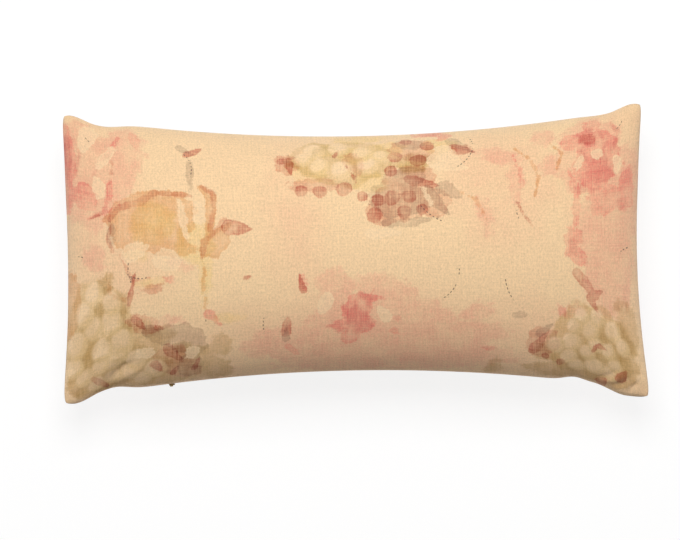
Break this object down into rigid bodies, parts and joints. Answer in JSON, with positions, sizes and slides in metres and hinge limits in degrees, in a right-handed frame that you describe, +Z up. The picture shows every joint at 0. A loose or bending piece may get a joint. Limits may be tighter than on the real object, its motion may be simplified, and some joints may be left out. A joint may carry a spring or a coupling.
{
  "type": "lumbar throw pillow",
  "caption": "Oblong throw pillow with a zipped printed linen cover, knife-edge seams, soft ears at the corners and a filled cotton insert.",
  "frame": {"origin": "on the ground under the middle of the pillow, which lies on its back", "axes": "+X along the pillow's long way, +Y away from the zip, +Z up through the printed front"},
  "size_m": [0.588, 0.293, 0.15],
  "materials": {
    "printed_linen": "heavy cream-peach linen with a faded floral and fruit print",
    "sewing_thread": "spun thread",
    "casing_cotton": "plain-woven undyed cotton",
    "fibre_filling": "loose white fibre",
    "label_tape": "satin label tape, blank",
    "zip_tape": "herringbone woven tape",
    "zip_nylon": "moulded nylon",
    "zip_metal": "aged brass plating"
  },
  "bodies": {
    "pillow": {"cover_front_panel": "printed_linen", "cover_back_panel": "printed_linen", "cover_seam_thread": "sewing_thread", "insert_casing_front": "casing_cotton", "insert_casing_back": "casing_cotton", "insert_filling": "fibre_filling", "insert_seam_thread": "sewing_thread", "insert_closing_stitch": "sewing_thread", "insert_care_label": "label_tape", "zip_tape_front": "zip_tape", "zip_tape_back": "zip_tape", "zip_coil_front": "zip_nylon", "zip_coil_back": "zip_nylon", "zip_stitching_front": "sewing_thread", "zip_stitching_back": "sewing_thread", "zip_top_stop_front": "zip_nylon", "zip_top_stop_back": "zip_nylon", "zip_bottom_stop": "zip_nylon"},
    "slider": {"zip_slider": "zip_metal"},
    "pull": {"zip_pull": "zip_metal"}
  },
  "joints": [
    {"name": "zip_travel", "type": "hinge", "parent": "pillow", "child": "slider", "pos_m": [0, -1.81738, 0.072], "axis": [0, 0, -1], "range_deg": [0, 12.4]},
    {"name": "pull_swing", "type": "hinge", "parent": "slider", "child": "pull", "pos_m": [-0.18584, -0.12903, 0.072], "axis": [-0.994, -0.1094, 0], "range_deg": [0, 170]}
  ]
}
